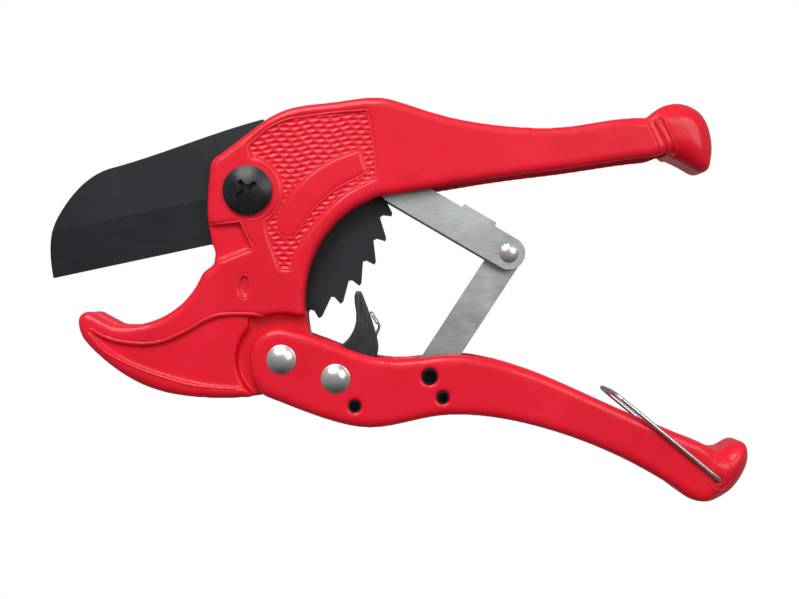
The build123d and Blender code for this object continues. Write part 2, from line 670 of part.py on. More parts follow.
PARTS = {
    "frame_casting": frame_casting,
    "blade": blade,
    "blade_screw": blade_screw,
    "blade_bush": blade_bush,
    "blade_shims": blade_shims,
    "nut_washer": nut_washer,
    "blade_lock_nut": blade_lock_nut,
    "lower_handle": lower_handle,
    "handle_rivet": handle_rivet,
    "handle_thrust_washers": handle_thrust_washers,
    "pawl": pawl,
    "pawl_rivet": pawl_rivet,
    "pawl_spring": pawl_spring,
    "pawl_spring_pin": pawl_spring_pin,
    "upper_link": upper_link,
    "upper_link_pin": upper_link_pin,
    "knee_rivet": knee_rivet,
    "knee_spacers": knee_spacers,
    "lower_link": lower_link,
    "lower_link_pin": lower_link_pin,
    "opening_spring": opening_spring,
    "spring_anchor_pin": spring_anchor_pin,
    "lock_bail": lock_bail,
}

os.makedirs("parts", exist_ok=True)
for name, make in PARTS.items():
    export_step(make(), f"parts/{name}.step")
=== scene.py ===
"""Looks for the plastic pipe cutter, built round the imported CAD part."""

import json
import math

import bpy
import numpy as np
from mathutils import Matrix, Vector
from mathutils.bvhtree import BVHTree


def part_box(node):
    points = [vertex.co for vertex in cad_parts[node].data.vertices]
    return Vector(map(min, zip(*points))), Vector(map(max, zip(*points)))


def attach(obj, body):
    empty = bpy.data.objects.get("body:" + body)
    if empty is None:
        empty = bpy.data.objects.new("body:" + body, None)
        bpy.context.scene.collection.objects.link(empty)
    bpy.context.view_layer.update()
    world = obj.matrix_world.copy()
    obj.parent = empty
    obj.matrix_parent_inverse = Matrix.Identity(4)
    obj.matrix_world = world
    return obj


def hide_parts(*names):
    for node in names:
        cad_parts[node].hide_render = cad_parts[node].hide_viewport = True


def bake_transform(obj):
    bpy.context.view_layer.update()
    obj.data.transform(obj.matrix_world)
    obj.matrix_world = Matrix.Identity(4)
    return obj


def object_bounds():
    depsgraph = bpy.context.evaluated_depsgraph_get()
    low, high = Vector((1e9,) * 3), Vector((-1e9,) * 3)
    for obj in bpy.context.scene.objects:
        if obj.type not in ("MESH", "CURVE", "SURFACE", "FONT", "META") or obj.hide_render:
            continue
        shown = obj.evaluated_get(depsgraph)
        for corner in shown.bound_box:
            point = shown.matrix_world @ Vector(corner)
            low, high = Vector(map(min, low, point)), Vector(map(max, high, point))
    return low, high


MM = 0.001

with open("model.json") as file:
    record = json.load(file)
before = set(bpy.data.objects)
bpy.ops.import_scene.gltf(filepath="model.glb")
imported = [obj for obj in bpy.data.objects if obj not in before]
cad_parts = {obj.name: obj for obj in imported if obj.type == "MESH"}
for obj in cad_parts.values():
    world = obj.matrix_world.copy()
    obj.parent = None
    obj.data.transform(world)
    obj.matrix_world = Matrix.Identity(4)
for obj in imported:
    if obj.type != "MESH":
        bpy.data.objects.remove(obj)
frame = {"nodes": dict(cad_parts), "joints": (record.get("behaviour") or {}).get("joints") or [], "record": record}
first_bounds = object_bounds()


def mm_box(node):
    """Lowest and highest corner of a CAD node in millimetres."""
    low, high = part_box(node)
    return np.array(low) / MM, np.array(high) / MM


def pivot_of(node):
    """Middle of a pin or rivet, as (x, z) in millimetres."""
    low, high = mm_box(node)
    return (low[0] + high[0]) / 2, (low[2] + high[2]) / 2


# ------------------------------------------------------------------ meshes
def new_mesh(name, points, faces, material, smooth=True):
    """A mesh object from millimetre points."""
    mesh = bpy.data.meshes.new(name)
    metres = (np.asarray(points, float) * MM).tolist()
    mesh.from_pydata(metres, [], [list(map(int, f)) for f in faces])
    mesh.update()
    mesh.validate()
    obj = bpy.data.objects.new(name, mesh)
    bpy.context.scene.collection.objects.link(obj)
    if smooth:
        mesh.polygons.foreach_set("use_smooth", [True] * len(mesh.polygons))
    mesh.materials.append(material)
    return obj


def tube(points, radius, closed=False, sides=10):
    """Points and faces of a round tube along a path. An open tube gets rounded ends."""
    path = np.asarray(points, float)
    if closed:
        ahead = np.roll(path, -1, 0) - np.roll(path, 1, 0)
    else:
        ahead = np.gradient(path, axis=0)
    ahead /= np.linalg.norm(ahead, axis=1)[:, None]
    side = np.cross(ahead[0], (0.0, 1.0, 0.0))
    if np.linalg.norm(side) < 0.2:
        side = np.cross(ahead[0], (1.0, 0.0, 0.0))
    sides_at = []
    for direction in ahead:
        side = side - direction * (side @ direction)
        side = side / np.linalg.norm(side)
        sides_at.append(side)
    sides_at = np.array(sides_at)
    if closed:
        # spread the leftover twist so that the loop meets itself
        end = sides_at[-1] - ahead[0] * (sides_at[-1] @ ahead[0])
        twist = math.atan2(np.cross(end, sides_at[0]) @ ahead[0], end @ sides_at[0])
    else:
        twist = 0.0
    rings = []
    for i, (centre, direction, side) in enumerate(zip(path, ahead, sides_at)):
        up = np.cross(direction, side)
        turn = twist * i / len(path)
        angles = np.linspace(0, 2 * math.pi, sides, endpoint=False) + turn
        around = np.outer(np.cos(angles), side) + np.outer(np.sin(angles), up)
        rings.append(centre + radius * around)
    if not closed:
        first = [path[0] + (rings[0] - path[0]) * s - ahead[0] * radius * c
                 for s, c in ((0.4, 0.9), (0.8, 0.6))]
        last = [path[-1] + (rings[-1] - path[-1]) * s + ahead[-1] * radius * c
                for s, c in ((0.8, 0.6), (0.4, 0.9))]
        rings = first + rings + last
    count = len(rings)
    verts = np.concatenate(rings)
    faces = []
    for i in range(count if closed else count - 1):
        j = (i + 1) % count
        for k in range(sides):
            m = (k + 1) % sides
            faces.append((i * sides + k, i * sides + m, j * sides + m, j * sides + k))
    if not closed:
        faces.append(tuple(range(sides - 1, -1, -1)))
        faces.append(tuple((count - 1) * sides + k for k in range(sides)))
    return verts, faces


def join(shapes):
    """Several (points, faces) as one."""
    points, faces, base = [], [], 0
    for verts, polys in shapes:
        points.append(np.asarray(verts, float))
        faces.extend(tuple(i + base for i in p) for p in polys)
        base += len(verts)
    return np.concatenate(points), faces


def smooth_path(knots, spacing=0.5, closed=False):
    """Evenly spaced points on a Catmull-Rom curve through the knots."""
    knots = np.asarray(knots, float)
    if closed:
        padded = np.vstack([knots[-1], knots, knots[:2]])
    else:
        padded = np.vstack([2 * knots[0] - knots[1], knots, 2 * knots[-1] - knots[-2]])
    out = []
    for p0, p1, p2, p3 in zip(padded, padded[1:], padded[2:], padded[3:]):
        steps = max(2, int(np.linalg.norm(p2 - p1) / spacing))
        for t in np.arange(steps) / steps:
            out.append(0.5 * (2 * p1 + (p2 - p0) * t + (2 * p0 - 5 * p1 + 4 * p2 - p3) * t**2
                              + (3 * p1 - p0 - 3 * p2 + p3) * t**3))
    if not closed:
        out.append(knots[-1])
    return np.array(out)


# ------------------------------------------------------------------ rounded skins of the castings
def column_hits(tree, x, z, low, high):
    """Heights where a line along Y enters and leaves the solid."""
    hits, y = [], low - 1.0
    while len(hits) < 16:
        found = tree.ray_cast(Vector((x, y, z)), Vector((0, 1, 0)), high - y + 2.0)
        if found[0] is None:
            break
        if not hits or found[0].y - hits[-1] > 0.02:
            hits.append(found[0].y)
        y = found[0].y + 0.003
    return hits


def blurred(field, sigma):
    """Gaussian blur along every axis; sigma is in cells."""
    reach = max(1, int(math.ceil(2.5 * sigma)))
    kernel = np.exp(-0.5 * (np.arange(-reach, reach + 1) / sigma) ** 2)
    kernel /= kernel.sum()
    for axis in range(field.ndim):
        margins = [(reach, reach) if a == axis else (0, 0) for a in range(field.ndim)]
        padded = np.pad(field, margins, "edge")
        total = np.zeros_like(field)
        for i, weight in enumerate(kernel):
            cut = [slice(None)] * field.ndim
            cut[axis] = slice(i, i + field.shape[axis])
            total += weight * padded[tuple(cut)]
        field = total
    return field


def inner_distance(mask, reach):
    """Distance in cells from each inside cell to the nearest outside one, up to a limit."""
    far = np.full(mask.shape, float(reach))
    far[~mask] = 0.0
    outside = np.pad(~mask, reach, constant_values=True)
    for dx in range(-reach, reach + 1):
        for dz in range(-reach, reach + 1):
            gap = math.hypot(dx, dz)
            if 0 < gap < reach:
                shifted = outside[reach + dx:reach + dx + mask.shape[0],
                                  reach + dz:reach + dz + mask.shape[1]]
                np.minimum(far, np.where(shifted, gap, reach), out=far)
    return far


def net(field, origin, step):
    """Surface net of a field at one half: points and quads, facing outwards."""
    inside = field > 0.5
    corners = [(i, j, k) for i in (0, 1) for j in (0, 1) for k in (0, 1)]
    shape = tuple(n - 1 for n in field.shape)
    count = np.zeros(shape, np.int8)
    for i, j, k in corners:
        count += inside[i:i + shape[0], j:j + shape[1], k:k + shape[2]]
    active = (count > 0) & (count < 8)
    cells = np.argwhere(active)
    index = np.full(shape, -1, np.int64)
    index[active] = np.arange(len(cells))
    total = np.zeros((len(cells), 3))
    crossings = np.zeros(len(cells))
    for axis in range(3):
        for i, j, k in corners:
            start = (i, j, k)
            if start[axis]:
                continue
            a = cells + start
            b = a.copy()
            b[:, axis] += 1
            va = field[a[:, 0], a[:, 1], a[:, 2]]
            vb = field[b[:, 0], b[:, 1], b[:, 2]]
            cross = (va > 0.5) != (vb > 0.5)
            t = np.where(cross, (0.5 - va) / np.where(cross, vb - va, 1.0), 0.0)
            at = np.array(start, float) + np.zeros((len(cells), 3))
            at[:, axis] += t
            total[cross] += at[cross]
            crossings += cross
    points = origin + step * (cells + total / crossings[:, None])
    quads = []
    for axis in range(3):
        u, v = [a for a in range(3) if a != axis]
        low = [slice(1, -1)] * 3
        low[axis] = slice(0, -1)
        high = list(low)
        high[axis] = slice(1, None)
        first, second = inside[tuple(low)], inside[tuple(high)]
        for flip, changed in ((False, first & ~second), (True, ~first & second)):
            edges = np.argwhere(changed)
            edges[:, u] += 1
            edges[:, v] += 1
            ring = []
            for du, dv in ((1, 1), (0, 1), (0, 0), (1, 0)):
                cell = edges.copy()
                cell[:, u] -= du
                cell[:, v] -= dv
                ring.append(index[cell[:, 0], cell[:, 1], cell[:, 2]])
            loop = np.stack(ring, 1)
            # axes (z, x), (x, y) are right-handed in this order and (x, z) is not
            if (axis == 1) != flip:
                loop = loop[:, ::-1]
            quads.append(loop)
    return points, np.concatenate(quads)


def relaxed(points, quads, rounds=8):
    """Evens out the net's small steps without shrinking it."""
    edges = np.concatenate([quads[:, [i, (i + 1) % 4]] for i in range(4)])
    degree = np.bincount(edges[:, 0], minlength=len(points))[:, None]
    for weight in (0.5, -0.52) * rounds:
        total = np.stack([np.bincount(edges[:, 0], points[edges[:, 1], a], len(points))
                          for a in range(3)], 1)
        points = points + weight * (total / degree - points)
    return points


def skin(node, name, step, soft, round_of, material, plugs=(), blind=None, samples=2):
    """The CAD node as a casting: its outline's edges rounded, then every edge softened."""
    source = frame["nodes"][node].data
    verts = [v.co / MM for v in source.vertices]
    tree = BVHTree.FromPolygons(verts, [list(p.vertices) for p in source.polygons])
    low, high = mm_box(node)
    pad = 3 * step
    origin = low - pad
    size = np.ceil((high - low + 2 * pad) / step).astype(int) + 1
    fine = step / samples
    spans, columns = [], []
    for i in range(size[0] * samples):
        x = origin[0] + (i + 0.5) * fine - step / 2
        for k in range(size[2] * samples):
            z = origin[2] + (k + 0.5) * fine - step / 2
            hits = column_hits(tree, x + 0.0007, z + 0.0011, low[1], high[1])
            if blind and len(hits) > 1 and math.hypot(x - blind[0][0], z - blind[0][1]) < blind[1]:
                # the thin front wall over a blind pin hole is backed by the pin
                hits[1] = max(hits[1], hits[0] + blind[2])
            for a, b in zip(hits[::2], hits[1::2]):
                spans.append((a, b))
                columns.append((i // samples) * size[2] + k // samples)
    spans, columns = np.array(spans), np.array(columns)
    cells = size[0] * size[2]
    filled = np.bincount(columns, minlength=cells) > 0
    mask = filled.reshape(size[0], size[2])
    x = (origin[0] + np.arange(size[0]) * step)[:, None]
    z = (origin[2] + np.arange(size[2]) * step)[None, :]
    for (px, pz), radius in plugs:
        mask = mask | ((x - px) ** 2 + (z - pz) ** 2 < radius**2)
    radii = round_of(x, z) + 0 * x * z
    reach = int(radii.max() / step) + 2
    depth = np.clip(blurred(inner_distance(mask, reach), 2.0) * step - 0.5 * step, 0, None)
    inset = np.clip(radii - depth, 0, None)
    half = (high[1] - low[1]) / 2
    limit = (half - radii + np.sqrt(np.clip(radii**2 - inset**2, 0, None))).ravel()
    middle = (high[1] + low[1]) / 2
    a = np.clip(spans[:, 0], middle - limit[columns], middle + limit[columns])
    b = np.clip(spans[:, 1], middle - limit[columns], middle + limit[columns])
    field = np.zeros((size[0], size[1], size[2]))
    for j in range(size[1]):
        y = origin[1] + j * step
        share = np.clip(np.minimum(b, y + step / 2) - np.maximum(a, y - step / 2), 0, None) / step
        layer = np.bincount(columns, share, cells) / samples**2
        field[:, j, :] = layer.reshape(size[0], size[2])
    points, quads = net(blurred(field, soft / step), origin, step)
    points = relaxed(points, quads)
    obj = new_mesh(name, points, quads, material)
    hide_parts(node)
    surface = BVHTree.FromPolygons([Vector(p) for p in points], quads.tolist())
    return obj, surface


# ------------------------------------------------------------------ materials
def srgb(r, g, b):
    """Linear colour of an 8-bit display colour."""
    return tuple((c / 255 / 12.92) if c <= 10 else ((c / 255 + 0.055) / 1.055) ** 2.4
                 for c in (r, g, b))


class Nodes:
    """Small helper for a material's node tree."""

    def __init__(self, name):
        self.material = bpy.data.materials.new(name)
        self.material.use_nodes = True
        self.tree = self.material.node_tree
        self.shader = self.tree.nodes["Principled BSDF"]
        self.coords = self.tree.nodes.new("ShaderNodeTexCoord").outputs["Object"]

    def add(self, kind, **inputs):
        node = self.tree.nodes.new(kind)
        for key, value in inputs.items():
            self.put(node.inputs[key.replace("_", " ")], value)
        return node

    def put(self, socket, value):
        if isinstance(value, bpy.types.NodeSocket):
            self.tree.links.new(value, socket)
        else:
            socket.default_value = value

    def stretched(self, scale, turn=(0, 0, 0)):
        node = self.add("ShaderNodeMapping", Vector=self.coords, Scale=scale, Rotation=turn)
        return node.outputs[0]

    def noise(self, scale, detail=3.0, rough=0.55, vector=None):
        node = self.add("ShaderNodeTexNoise", Vector=vector or self.coords, Scale=scale,
                        Detail=detail, Roughness=rough)
        return node.outputs["Fac"]

    def ramp(self, factor, stops):
        node = self.add("ShaderNodeValToRGB", Fac=factor)
        node.color_ramp.elements[0].position = stops[0][0]
        node.color_ramp.elements[1].position = stops[-1][0]
        for position, _ in stops[1:-1]:
            node.color_ramp.elements.new(position)
        for element, (_, colour) in zip(node.color_ramp.elements, stops):
            element.color = (*colour, 1.0) if len(colour) == 3 else colour
        return node.outputs["Color"]

    def spread(self, factor, low, high, start=0.3, end=0.7):
        node = self.add("ShaderNodeMapRange", Value=factor)
        self.put(node.inputs["From Min"], start)
        self.put(node.inputs["From Max"], end)
        self.put(node.inputs["To Min"], low)
        self.put(node.inputs["To Max"], high)
        return node.outputs["Result"]

    def mix(self, factor, a, b):
        node = self.tree.nodes.new("ShaderNodeMix")
        node.data_type = "RGBA"
        self.put(node.inputs[0], factor)
        self.put(node.inputs[6], a)
        self.put(node.inputs[7], b)
        return node.outputs[2]

    def math(self, operation, a, b=0.0):
        node = self.tree.nodes.new("ShaderNodeMath")
        node.operation = operation
        self.put(node.inputs[0], a)
        self.put(node.inputs[1], b)
        return node.outputs[0]

    def bump(self, height, strength, distance):
        node = self.add("ShaderNodeBump", Height=height, Strength=strength, Distance=distance)
        self.put(self.shader.inputs["Normal"], node.outputs[0])

    def set(self, **inputs):
        for key, value in inputs.items():
            self.put(self.shader.inputs[key.replace("_", " ")], value)
        return self.material


def red_paint():
    n = Nodes("red_paint")
    base, deep, worn = srgb(238, 20, 46), srgb(226, 16, 39), srgb(244, 28, 54)
    tone = n.ramp(n.noise(38.0, 4.0), [(0.3, deep), (0.5, base), (0.75, worn)])
    speck = n.spread(n.noise(2600.0, 2.0), 0.0, 1.0, 0.66, 0.74)
    colour = n.mix(n.math("MULTIPLY", speck, 0.15), tone, (*srgb(150, 14, 22), 1.0))
    # painted highlight: convex edges, found by their pointiness, are mixed towards a light pink
    pointed = n.tree.nodes.new("ShaderNodeNewGeometry").outputs["Pointiness"]
    edge = n.spread(pointed, 0.0, 1.0, 0.52, 0.60)
    colour = n.mix(n.math("MULTIPLY", edge, 0.18), colour, (*srgb(250, 90, 96), 1.0))
    rough = n.spread(n.noise(120.0, 5.0), 0.30, 0.46)
    n.bump(n.math("ADD", n.noise(900.0, 2.0), n.math("MULTIPLY", n.noise(190.0, 2.0), 1.6)),
           0.10, 0.0003)
    return n.set(Base_Color=colour, Roughness=rough, Coat_Weight=0.25, Coat_Roughness=0.08,
                 Specular_IOR_Level=0.25)


def blade_coating():
    n = Nodes("blade_coating")
    streak = n.noise(60.0, 6.0, 0.6, n.stretched((1.0, 1.0, 9.0), (0, 0.21, 0)))
    cloud = n.noise(28.0, 4.0)
    colour = n.ramp(n.math("ADD", n.math("MULTIPLY", streak, 0.5), n.math("MULTIPLY", cloud, 0.5)),
                    [(0.3, srgb(28, 32, 36)), (0.55, srgb(35, 39, 44)), (0.75, srgb(45, 49, 54))])
    rubbed = n.noise(75.0, 8.0, 0.75, n.stretched((6.0, 1.0, 1.0), (0, 0.5, 0)))
    scuff = n.spread(rubbed, 0.0, 0.5, 0.62, 0.72)
    colour = n.mix(scuff, colour, (*srgb(96, 100, 104), 1.0))
    n.bump(n.noise(700.0, 3.0, 0.6, n.stretched((1.0, 1.0, 6.0), (0, 0.21, 0))), 0.12, 0.0002)
    return n.set(Base_Color=colour, Roughness=n.spread(cloud, 0.34, 0.5), Metallic=0.25)


def metal(name, low, high, rough, grain, turn, stretch=8.0, stain=None, bump=0.1, rim=0.0):
    """A plated or bare steel with grain, tone patches and fine scratches; rim paints shade on it where it turns
    edge-on.
    """
    n = Nodes(name)
    streak = n.noise(grain, 6.0, 0.6, n.stretched((1.0, 1.0, stretch), turn))
    patch = n.noise(90.0, 4.0)
    colour = n.ramp(n.math("ADD", n.math("MULTIPLY", streak, 0.6), n.math("MULTIPLY", patch, 0.4)),
                    [(0.3, low), (0.7, high)])
    scored = n.noise(grain * 2.0, 8.0, 0.8, n.stretched((stretch, 1.0, 1.0), turn))
    scratch = n.spread(scored, 0.0, 1.0, 0.64, 0.7)
    colour = n.mix(n.math("MULTIPLY", scratch, 0.4), colour, (*(stain or high), 1.0))
    if rim:
        # painted shade: where the surface turns edge-on it is mixed towards dark grey, a painted dark reflection
        facing = n.add("ShaderNodeLayerWeight", Blend=0.5).outputs["Facing"]
        colour = n.mix(n.spread(facing, 0.0, rim, 0.5, 0.95), colour, (*srgb(44, 42, 42), 1.0))
    fine = n.noise(grain * 6.0, 2.0) if rim else streak
    n.bump(n.math("ADD", fine, n.math("MULTIPLY", scratch, -0.5)), bump, 0.0002)
    return n.set(Base_Color=colour, Metallic=1.0, Roughness=n.spread(patch, rough[0], rough[1]))


def black_oxide():
    n = Nodes("black_oxide")
    cloud = n.noise(160.0, 4.0)
    colour = n.ramp(cloud, [(0.3, srgb(20, 21, 23)), (0.7, srgb(38, 39, 42))])
    worn = n.spread(n.noise(260.0, 8.0, 0.75), 0.0, 1.0, 0.6, 0.7)
    colour = n.mix(n.math("MULTIPLY", worn, 0.3), colour, (*srgb(120, 122, 124), 1.0))
    n.bump(n.noise(1200.0, 3.0), 0.15, 0.0002)
    return n.set(Base_Color=colour, Metallic=0.25, Roughness=n.spread(cloud, 0.26, 0.40))


def streaked_black():
    """Pawl steel: blackened, with lighter streaks that gather towards its nose."""
    n = Nodes("streaked_black")
    low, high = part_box("pawl")
    height = n.add("ShaderNodeSeparateXYZ", Vector=n.coords).outputs["Z"]
    up = n.spread(height, 0.0, 1.0, low.z + 0.45 * (high.z - low.z), high.z)
    streak = n.noise(260.0, 8.0, 0.75, n.stretched((5.0, 1.0, 1.0), (0, 0.6, 0)))
    lighter_streaks = n.spread(n.math("ADD", streak, n.math("MULTIPLY", up, 0.2)), 0.0, 1.0, 0.62, 0.78)
    black = n.ramp(n.noise(180.0, 4.0), [(0.3, srgb(44, 45, 47)), (0.7, srgb(62, 63, 66))])
    colour = n.mix(n.math("MULTIPLY", lighter_streaks, 0.3), black, (*srgb(130, 132, 134), 1.0))
    n.bump(n.noise(800.0, 4.0), 0.12, 0.0002)
    return n.set(Base_Color=colour, Metallic=0.35, Roughness=n.spread(streak, 0.38, 0.52))


MATERIALS = {
    "red_paint": red_paint(),
    "blade_coating": blade_coating(),
    "sheet_steel": metal("sheet_steel", srgb(168, 172, 170), srgb(206, 210, 208), (0.38, 0.52), 220.0,
                         (0, 0.5, 0), stain=srgb(150, 152, 150)),
    # rim= on nickel and spring_steel sets how strong the painted edge-on shade of metal() is
    "nickel": metal("nickel", srgb(224, 222, 218), srgb(246, 245, 242), (0.20, 0.34), 300.0, (0, 0.9, 0), 3.0,
                    stain=srgb(150, 148, 144), bump=0.008, rim=0.8),
    "black_oxide": black_oxide(),
    "spring_steel": metal("spring_steel", srgb(190, 190, 192), srgb(228, 228, 230), (0.16, 0.26), 500.0,
                          (0, 0.7, 0), 2.0, stain=srgb(140, 138, 136), bump=0.01, rim=0.95),
    # pin_steel is near black: partly the pins' own dark finish, partly painted shade standing in for the dark
    # inside of the pins
    "pin_steel": metal("pin_steel", srgb(40, 38, 40), srgb(72, 70, 72), (0.35, 0.55), 600.0, (0, 0.3, 0),
                       3.0, stain=srgb(70, 66, 62)),
    "bush_bronze": metal("bush_bronze", srgb(150, 112, 62), srgb(190, 150, 92), (0.3, 0.48), 400.0,
                         (0, 0.3, 0), 3.0, stain=srgb(96, 70, 40)),
}
SLOT_OF = {part["node"]: part["material_slot"] for part in frame["record"]["subparts"]}
for node, obj in frame["nodes"].items():
    obj.data.materials.clear()
    obj.data.materials.append(MATERIALS[SLOT_OF[node]])


# ------------------------------------------------------------------ frame casting
STEP = 0.45
SOFT = 0.55
PLUG_RADIUS = 3.2
RIVET_SHANK = 2.4
KNEE_SHANK = 2.0
frame_high = mm_box("frame_casting")[1]
handle_high = mm_box("lower_handle")[1]


def frame_round(x, z):
    """Edge radius of the frame: larger where it swells into the knob."""
    t = np.clip((x - (frame_high[0] - 20.0)) / 8.0, 0, 1)
    return 2.5 + 3.7 * t * t * (3 - 2 * t)


def handle_round(x, z):
    """Edge radius of the lever: larger where it swells into its knob."""
    t = np.clip((x - (handle_high[0] - 16.0)) / 9.0, 0, 1)
    return 2.7 + 4.5 * t * t * (3 - 2 * t)


frame_plugs = [((0.0, 0.0), 8.2), (pivot_of("handle_rivet"), PLUG_RADIUS)]
frame_skin, frame_surface = skin("frame_casting", "frame_casting_skin", STEP, SOFT, frame_round,
                                 MATERIALS["red_paint"], frame_plugs,
                                 (pivot_of("upper_link_pin"), 3.0, 2.5))
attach(frame_skin, "frame")

handle_pins = ("handle_rivet", "pawl_rivet", "lower_link_pin", "spring_anchor_pin", "pawl_spring_pin")
handle_plugs = [(pivot_of(pin), PLUG_RADIUS) for pin in handle_pins]
bail_axis = next(j for j in frame["joints"] if j["name"] == "bail_swing")["pos_m"]
handle_plugs.append(((bail_axis[0] / MM, bail_axis[2] / MM), 1.6))
handle_skin, handle_surface = skin("lower_handle", "lower_handle_skin", STEP, SOFT, handle_round,
                                   MATERIALS["red_paint"], handle_plugs)
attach(handle_skin, "handle")


# ------------------------------------------------------------------ raised lines on the castings
def on_surface(surface, path, side, sink):
    """Lays an (x, z) path on a casting; side is -1 for the front face and +1 for the rear."""
    points = []
    for x, z in path:
        found = surface.ray_cast(Vector((x, side * 30.0, z)), Vector((0, -side, 0)), 40.0)
        if found[0] is not None:
            points.append((x, found[0].y - side * sink, z))
    points = np.array(points)
    if len(points) > 6:
        # even out the small steps of the surface below
        for _ in range(2):
            points[1:-1, 1] = (points[:-2, 1] + 2 * points[1:-1, 1] + points[2:, 1]) / 4
    return points


def lines(name, surface, body, paths, radius, sink, sides=(-1, 1)):
    """Raised half-round lines in one piece; each path is (points, closed)."""
    shapes = []
    for side in sides:
        for knots, closed in paths:
            flat = smooth_path([(x, 0.0, z) for x, z in knots], 0.6, closed)[:, (0, 2)]
            laid = on_surface(surface, flat, side, sink)
            shapes.append(tube(laid, radius, closed and len(laid) == len(flat), 8))
    obj = new_mesh(name, *join(shapes), MATERIALS["red_paint"])
    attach(obj, body)
    return obj


def arc(radius, start, end, count=24):
    angles = np.radians(np.linspace(start, end, count))
    return [(radius * math.cos(a), radius * math.sin(a)) for a in angles]


def straight(*corners, spacing=1.2):
    """Points along straight lines, so that a smooth curve through them keeps its corners tight."""
    points = []
    for (ax, az), (bx, bz) in zip(corners, corners[1:]):
        steps = max(1, int(math.hypot(bx - ax, bz - az) / spacing))
        points += [(ax + (bx - ax) * i / steps, az + (bz - az) * i / steps) for i in range(steps)]
    return points + [corners[-1]]


panel_top = [(0.3, 14.0), (3.6, 17.1), (7.3, 19.9), (12.3, 22.0), (18.5, 23.1), (25.3, 24.0), (31.0, 24.5),
             (36.4, 24.8)]
panel_end = [(37.0, 23.8), (38.8, 14.0), (39.6, 4.8)]
panel_arch = [(39.2, 3.7), (30.0, -1.2), (22.5, -8.0), (16.3, -16.2), (13.4, -23.6)]
panel_foot = [(12.9, -24.4), (10.1, -24.2)]
panel_inner = straight((9.6, -23.6), (6.5, -15.0), (5.2, -9.6))
panel_rim = (panel_top + panel_end + panel_arch + panel_foot + panel_inner
             + arc(10.6, -60.0, 84.0) + [(0.7, 12.0)])
plate_top = [(9.3, -12.0), (9.3, -9.0), (10.2, -6.0), (15.2, 1.4), (23.4, 8.0), (34.0, 12.5)]
plate_end = [(34.9, 12.0), (36.9, 6.6)]
plate_low = [(36.6, 5.5), (27.0, 0.2), (20.0, -6.2), (14.9, -13.6), (13.6, -14.6), (11.4, -14.6),
             (9.8, -13.4)]
plate_rim = plate_top + plate_end + plate_low
boss_ring = arc(9.3, -88, 66, 30)
oval = [(-1.0 + 1.9 * math.cos(a), -29.6 + 3.6 * math.sin(a))
        for a in np.linspace(0, 2 * math.pi, 20, False)]
pocket_rim = straight((-11.3, -10.4), (-2.3, -9.5), (1.6, -17.9), (-9.2, -22.0))
jaw_top = [(-48.3, -42.9), (-46.2, -44.2), (-43.4, -45.5), (-39.5, -46.6), (-32.0, -47.3),
           (-25.4, -46.1), (-18.3, -42.8), (-13.5, -40.0), (-8.3, -38.3), (0.2, -38.1), (4.6, -38.6)]
jaw_low = [(-48.9, -44.4), (-47.2, -46.8), (-43.4, -50.4), (-34.9, -54.7), (-25.4, -58.1),
           (-15.9, -60.5), (-4.0, -61.5)]
lines("panel_rim", frame_surface, "frame", [(panel_rim, True)], 0.42, 0.12)
lines("plate_rim", frame_surface, "frame", [(plate_rim, True)], 0.34, 0.05)
lines("boss_ring", frame_surface, "frame", [(boss_ring, False)], 0.30, 0.10, sides=(-1,))
lines("oval_rim", frame_surface, "frame", [(oval, True)], 0.28, 0.05)
lines("jaw_ridges", frame_surface, "frame", [(jaw_top, False), (jaw_low, False)], 0.75, 0.42)
lines("pocket_rim", frame_surface, "frame", [(pocket_rim, False)], 0.45, 0.18)

# the frame's neck: a slanted ridge beside a long oval rim
neck = [([(123.6, 21.4), (125.7, 17.2), (128.0, 12.2)], False),
        ([(126.2, 21.4), (127.2, 22.6), (128.6, 22.0), (130.6, 17.6), (133.0, 12.4), (132.3, 11.4),
          (131.0, 11.9), (128.6, 17.2)], True)]
lines("neck_ridges", frame_surface, "frame", neck, 0.50, 0.14)

# a raised band runs down the lower knob and round the bail's hole
hole_x, hole_z = bail_axis[0] / MM, bail_axis[2] / MM
bow = [(hole_x + 0.2 + 3.3 * math.cos(a), hole_z + 3.3 * math.sin(a))
       for a in np.radians(np.linspace(190, 350, 12))]
band = [(144.8, -82.0), (143.4, -85.6)] + bow + [(149.0, -86.0), (148.9, -82.6)]
lines("knob_band", handle_surface, "handle", [(band, False)], 0.38, 0.08)


